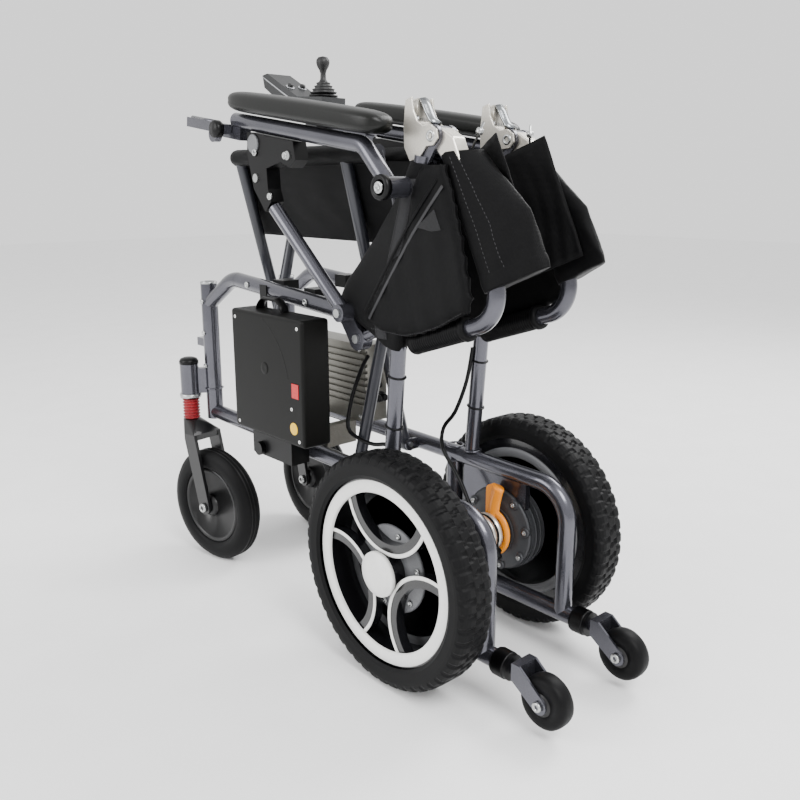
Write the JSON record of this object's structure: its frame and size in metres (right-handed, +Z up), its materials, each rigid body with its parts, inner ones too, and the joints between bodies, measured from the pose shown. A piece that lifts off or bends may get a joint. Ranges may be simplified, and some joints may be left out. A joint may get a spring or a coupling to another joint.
{
  "type": "power wheelchair",
  "caption": "Electric wheelchair folded sideways on its cross braces, backrest folded down, with battery box, joystick, casters and anti-tip wheels.",
  "frame": {"origin": "centre of the bounding box on the floor", "axes": "+Z up, +X to the user's left, +Y to the rear"},
  "size_m": [0.322, 0.858, 0.856],
  "materials": {
    "frame_paint": "metallic gunmetal grey, gloss",
    "black_nylon": "moulded, fine grain",
    "zinc_steel": "zinc plated",
    "motor_casting": "dark grey powder coat",
    "lever_orange": "moulded orange",
    "rim_black": "gloss black moulded rim with white ring",
    "tyre_rubber": "solid rubber",
    "spring_red": "ribbed red",
    "fork_black": "satin black",
    "pad_foam": "soft integral-skin foam",
    "grip_rubber": "ribbed",
    "cast_cream": "satin cream casting",
    "brace_paint": "dark grey gloss",
    "sling_cloth": "woven nylon",
    "cable_jacket": "smooth jacket",
    "finned_aluminium": "extruded with cooling fins",
    "battery_case": "spark textured",
    "switch_red": "moulded red",
    "control_plastic": "fine texture",
    "bellows_rubber": "soft moulded"
  },
  "bodies": {
    "left_side": {"side_frame_left": "frame_paint", "back_cane_left": "frame_paint", "arm_strut_left": "frame_paint", "nylon_fittings_left": "black_nylon", "fasteners_left": "zinc_steel", "drive_motor_left": "motor_casting", "cable_left": "cable_jacket", "controller": "finned_aluminium"},
    "right_side": {"side_frame_right": "frame_paint", "back_cane_right": "frame_paint", "arm_strut_right": "frame_paint", "nylon_fittings_right": "black_nylon", "fasteners_right": "zinc_steel", "drive_motor_right": "motor_casting", "cable_right": "cable_jacket"},
    "rear_wheel_left": {"rear_rim_left": "rim_black", "rear_tyre_left": "tyre_rubber"},
    "clutch_lever_left": {"clutch_lever_left": "lever_orange"},
    "caster_slider_left": {"caster_spring_left": "spring_red"},
    "caster_fork_left": {"caster_fork_left": "fork_black"},
    "caster_wheel_left": {"caster_wheel_left": "tyre_rubber"},
    "antitip_stem_left": {"antitip_stem_left": "frame_paint"},
    "antitip_wheel_left": {"antitip_wheel_left": "tyre_rubber"},
    "armrest_left": {"armrest_tube_left": "frame_paint", "arm_pad_left": "pad_foam"},
    "upper_back_left": {"upper_cane_left": "frame_paint", "push_grip_left": "grip_rubber"},
    "fold_lever_left": {"fold_lever_left": "cast_cream"},
    "seat_brace_left": {"seat_brace_left": "brace_paint"},
    "seat_leaf_left": {"seat_leaf_left": "sling_cloth"},
    "seat_inner_left": {"seat_inner_left": "sling_cloth"},
    "back_leaf_left": {"back_leaf_left": "sling_cloth"},
    "back_inner_left": {"back_inner_left": "sling_cloth"},
    "top_leaf_left": {"top_leaf_left": "sling_cloth"},
    "top_inner_left": {"top_inner_left": "sling_cloth"},
    "rear_wheel_right": {"rear_rim_right": "rim_black", "rear_tyre_right": "tyre_rubber"},
    "clutch_lever_right": {"clutch_lever_right": "lever_orange"},
    "caster_slider_right": {"caster_spring_right": "spring_red"},
    "caster_fork_right": {"caster_fork_right": "fork_black"},
    "caster_wheel_right": {"caster_wheel_right": "tyre_rubber"},
    "antitip_stem_right": {"antitip_stem_right": "frame_paint"},
    "antitip_wheel_right": {"antitip_wheel_right": "tyre_rubber"},
    "armrest_right": {"armrest_tube_right": "frame_paint", "arm_pad_right": "pad_foam", "joystick_body": "control_plastic"},
    "upper_back_right": {"upper_cane_right": "frame_paint", "push_grip_right": "grip_rubber"},
    "fold_lever_right": {"fold_lever_right": "cast_cream"},
    "seat_brace_right": {"seat_brace_right": "brace_paint"},
    "seat_leaf_right": {"seat_leaf_right": "sling_cloth"},
    "seat_inner_right": {"seat_inner_right": "sling_cloth"},
    "back_leaf_right": {"back_leaf_right": "sling_cloth"},
    "back_inner_right": {"back_inner_right": "sling_cloth"},
    "top_leaf_right": {"top_leaf_right": "sling_cloth"},
    "top_inner_right": {"top_inner_right": "sling_cloth"},
    "battery": {"battery": "battery_case"},
    "battery_switch": {"battery_switch": "switch_red"},
    "joystick_stick": {"joystick_stick": "bellows_rubber"},
    "joystick_buttons": {"joystick_buttons": "bellows_rubber"}
  },
  "joints": [
    {"name": "fold", "type": "slide", "parent": "left_side", "child": "right_side", "axis": [-1, 0, 0], "range_m": [0, 0.252]},
    {"name": "rear_wheel_left_spin", "type": "hinge", "parent": "left_side", "child": "rear_wheel_left", "pos_m": [0.134, 0.176, 0.158], "axis": [1, 0, 0], "continuous": true},
    {"name": "clutch_lever_left_turn", "type": "hinge", "parent": "left_side", "child": "clutch_lever_left", "pos_m": [0.06, 0.176, 0.158], "axis": [-1, 0, 0], "range_deg": [0, 45]},
    {"name": "caster_spring_left_travel", "type": "slide", "parent": "left_side", "child": "caster_slider_left", "axis": [0, 0, 1], "range_m": [0, 0.006], "stiffness_N_per_m": 20000, "springref_m": -0.015, "deforming": ["caster_spring_left"]},
    {"name": "caster_left_swivel", "type": "hinge", "parent": "caster_slider_left", "child": "caster_fork_left", "pos_m": [0.114, -0.38, 0.24], "axis": [0, 0, 1], "continuous": true},
    {"name": "caster_wheel_left_spin", "type": "hinge", "parent": "caster_fork_left", "child": "caster_wheel_left", "pos_m": [0.10457, -0.3248, 0.099], "axis": [0.9857, 0.1685, 0], "continuous": true},
    {"name": "antitip_left_reach", "type": "slide", "parent": "left_side", "child": "antitip_stem_left", "axis": [0, 1, 0], "range_m": [-0.008, 0.03]},
    {"name": "antitip_wheel_left_spin", "type": "hinge", "parent": "antitip_stem_left", "child": "antitip_wheel_left", "pos_m": [0.08, 0.395, 0.046], "axis": [1, 0, 0], "continuous": true},
    {"name": "armrest_left_flip", "type": "hinge", "parent": "left_side", "child": "armrest_left", "pos_m": [0.117, 0.156, 0.643], "axis": [-1, 0, 0], "range_deg": [0, 95]},
    {"name": "upper_back_left_fold", "type": "hinge", "parent": "left_side", "child": "upper_back_left", "pos_m": [0.068, 0.192, 0.702], "axis": [1, 0, 0], "range_deg": [0, 142.8]},
    {"name": "fold_lever_left_pull", "type": "hinge", "parent": "left_side", "child": "fold_lever_left", "pos_m": [0.068, 0.162, 0.7], "axis": [1, 0, 0], "range_deg": [0, 25], "stiffness_Nm_per_rad": 0.6, "springref_deg": -17.19},
    {"name": "seat_brace_left_swing", "type": "hinge", "parent": "right_side", "child": "seat_brace_left", "pos_m": [-0.056, -0.124, 0.25], "axis": [0, 1, 0], "range_deg": [0, 39.53]},
    {"name": "seat_leaf_left_swing", "type": "hinge", "parent": "seat_brace_left", "child": "seat_leaf_left", "pos_m": [0.0445, -0.124, 0.68487], "axis": [0, 1, 0], "range_deg": [0, 34.94]},
    {"name": "seat_inner_left_swing", "type": "hinge", "parent": "seat_leaf_left", "child": "seat_inner_left", "pos_m": [0.011, -0.124, 0.56587], "axis": [0, -1, 0], "range_deg": [0, 156.9]},
    {"name": "back_leaf_left_swing", "type": "hinge", "parent": "left_side", "child": "back_leaf_left", "pos_m": [0.066, 0.131, 0.472], "axis": [0, -0.2024, -0.9793], "range_deg": [0, 63.1]},
    {"name": "back_inner_left_swing", "type": "hinge", "parent": "back_leaf_left", "child": "back_inner_left", "pos_m": [0.02242, 0.04723, 0.48932], "axis": [0, 0.2024, 0.9793], "range_deg": [0, 141.6]},
    {"name": "top_leaf_left_swing", "type": "hinge", "parent": "upper_back_left", "child": "top_leaf_left", "pos_m": [0.054, 0.208, 0.694], "axis": [0, -0.4306, 0.9025], "range_deg": [0, 78.6]},
    {"name": "top_inner_left_swing", "type": "hinge", "parent": "top_leaf_left", "child": "top_inner_left", "pos_m": [0.04403, 0.25222, 0.7151], "axis": [0, 0.4306, -0.9025], "range_deg": [0, 151.1]},
    {"name": "rear_wheel_right_spin", "type": "hinge", "parent": "right_side", "child": "rear_wheel_right", "pos_m": [-0.134, 0.176, 0.158], "axis": [1, 0, 0], "continuous": true},
    {"name": "clutch_lever_right_turn", "type": "hinge", "parent": "right_side", "child": "clutch_lever_right", "pos_m": [-0.06, 0.176, 0.158], "axis": [-1, 0, 0], "range_deg": [0, 45]},
    {"name": "caster_spring_right_travel", "type": "slide", "parent": "right_side", "child": "caster_slider_right", "axis": [0, 0, 1], "range_m": [0, 0.006], "stiffness_N_per_m": 20000, "springref_m": -0.015, "deforming": ["caster_spring_right"]},
    {"name": "caster_right_swivel", "type": "hinge", "parent": "caster_slider_right", "child": "caster_fork_right", "pos_m": [-0.114, -0.38, 0.24], "axis": [0, 0, 1], "continuous": true},
    {"name": "caster_wheel_right_spin", "type": "hinge", "parent": "caster_fork_right", "child": "caster_wheel_right", "pos_m": [-0.11117, -0.32407, 0.099], "axis": [0.9987, -0.0506, 0], "continuous": true},
    {"name": "antitip_right_reach", "type": "slide", "parent": "right_side", "child": "antitip_stem_right", "axis": [0, 1, 0], "range_m": [-0.008, 0.03]},
    {"name": "antitip_wheel_right_spin", "type": "hinge", "parent": "antitip_stem_right", "child": "antitip_wheel_right", "pos_m": [-0.08, 0.395, 0.046], "axis": [1, 0, 0], "continuous": true},
    {"name": "armrest_right_flip", "type": "hinge", "parent": "right_side", "child": "armrest_right", "pos_m": [-0.117, 0.156, 0.643], "axis": [-1, 0, 0], "range_deg": [0, 95]},
    {"name": "upper_back_right_fold", "type": "hinge", "parent": "right_side", "child": "upper_back_right", "pos_m": [-0.068, 0.192, 0.702], "axis": [1, 0, 0], "range_deg": [0, 142.8]},
    {"name": "fold_lever_right_pull", "type": "hinge", "parent": "right_side", "child": "fold_lever_right", "pos_m": [-0.068, 0.162, 0.7], "axis": [1, 0, 0], "range_deg": [0, 25], "stiffness_Nm_per_rad": 0.6, "springref_deg": -17.19},
    {"name": "seat_brace_right_swing", "type": "hinge", "parent": "left_side", "child": "seat_brace_right", "pos_m": [0.056, -0.124, 0.25], "axis": [0, -1, 0], "range_deg": [0, 39.53]},
    {"name": "seat_leaf_right_swing", "type": "hinge", "parent": "seat_brace_right", "child": "seat_leaf_right", "pos_m": [-0.0445, -0.124, 0.68487], "axis": [0, -1, 0], "range_deg": [0, 34.94]},
    {"name": "seat_inner_right_swing", "type": "hinge", "parent": "seat_leaf_right", "child": "seat_inner_right", "pos_m": [-0.011, -0.124, 0.56587], "axis": [0, 1, 0], "range_deg": [0, 156.9]},
    {"name": "back_leaf_right_swing", "type": "hinge", "parent": "right_side", "child": "back_leaf_right", "pos_m": [-0.066, 0.131, 0.472], "axis": [0, 0.2024, 0.9793], "range_deg": [0, 63.1]},
    {"name": "back_inner_right_swing", "type": "hinge", "parent": "back_leaf_right", "child": "back_inner_right", "pos_m": [-0.02242, 0.04723, 0.48932], "axis": [0, -0.2024, -0.9793], "range_deg": [0, 141.6]},
    {"name": "top_leaf_right_swing", "type": "hinge", "parent": "upper_back_right", "child": "top_leaf_right", "pos_m": [-0.054, 0.208, 0.694], "axis": [0, 0.4306, -0.9025], "range_deg": [0, 78.6]},
    {"name": "top_inner_right_swing", "type": "hinge", "parent": "top_leaf_right", "child": "top_inner_right", "pos_m": [-0.04403, 0.25222, 0.7151], "axis": [0, -0.4306, 0.9025], "range_deg": [0, 151.1]},
    {"name": "battery_lift", "type": "slide", "parent": "left_side", "child": "battery", "axis": [0, 0, 1], "range_m": [0, 0.03]},
    {"name": "battery_switch_rock", "type": "hinge", "parent": "battery", "child": "battery_switch", "pos_m": [0.1405, -0.0195, 0.363], "axis": [0, 1, 0], "range_deg": [-6, 6]},
    {"name": "joystick_tilt", "type": "hinge", "parent": "armrest_right", "child": "joystick_stick", "pos_m": [-0.117, -0.282, 0.788], "axis": [1, 0, 0], "range_deg": [-20, 20], "stiffness_Nm_per_rad": 0.5},
    {"name": "joystick_buttons_press", "type": "slide", "parent": "armrest_right", "child": "joystick_buttons", "axis": [0, -0.454, -0.891], "range_m": [0, 0.0015], "stiffness_N_per_m": 400}
  ],
  "couplings": [
    {"joint": "seat_brace_left_swing", "follows": "fold", "rad_per_m": 2.7312},
    {"joint": "seat_leaf_left_swing", "follows": "fold", "rad_per_m": 2.4132},
    {"joint": "seat_inner_left_swing", "follows": "fold", "rad_per_m": 10.86},
    {"joint": "back_leaf_left_swing", "follows": "fold", "rad_per_m": 4.3633},
    {"joint": "back_inner_left_swing", "follows": "fold", "rad_per_m": 9.8002},
    {"joint": "top_leaf_left_swing", "follows": "fold", "rad_per_m": 5.4368},
    {"joint": "top_inner_left_swing", "follows": "fold", "rad_per_m": 10.458},
    {"joint": "seat_brace_right_swing", "follows": "fold", "rad_per_m": 2.7312},
    {"joint": "seat_leaf_right_swing", "follows": "fold", "rad_per_m": 2.4132},
    {"joint": "seat_inner_right_swing", "follows": "fold", "rad_per_m": 10.86},
    {"joint": "back_leaf_right_swing", "follows": "fold", "rad_per_m": 4.3633},
    {"joint": "back_inner_right_swing", "follows": "fold", "rad_per_m": 9.8002},
    {"joint": "top_leaf_right_swing", "follows": "fold", "rad_per_m": 5.4368},
    {"joint": "top_inner_right_swing", "follows": "fold", "rad_per_m": 10.458},
    {"joint": "upper_back_right_fold", "follows": "upper_back_left_fold", "ratio": 1}
  ]
}
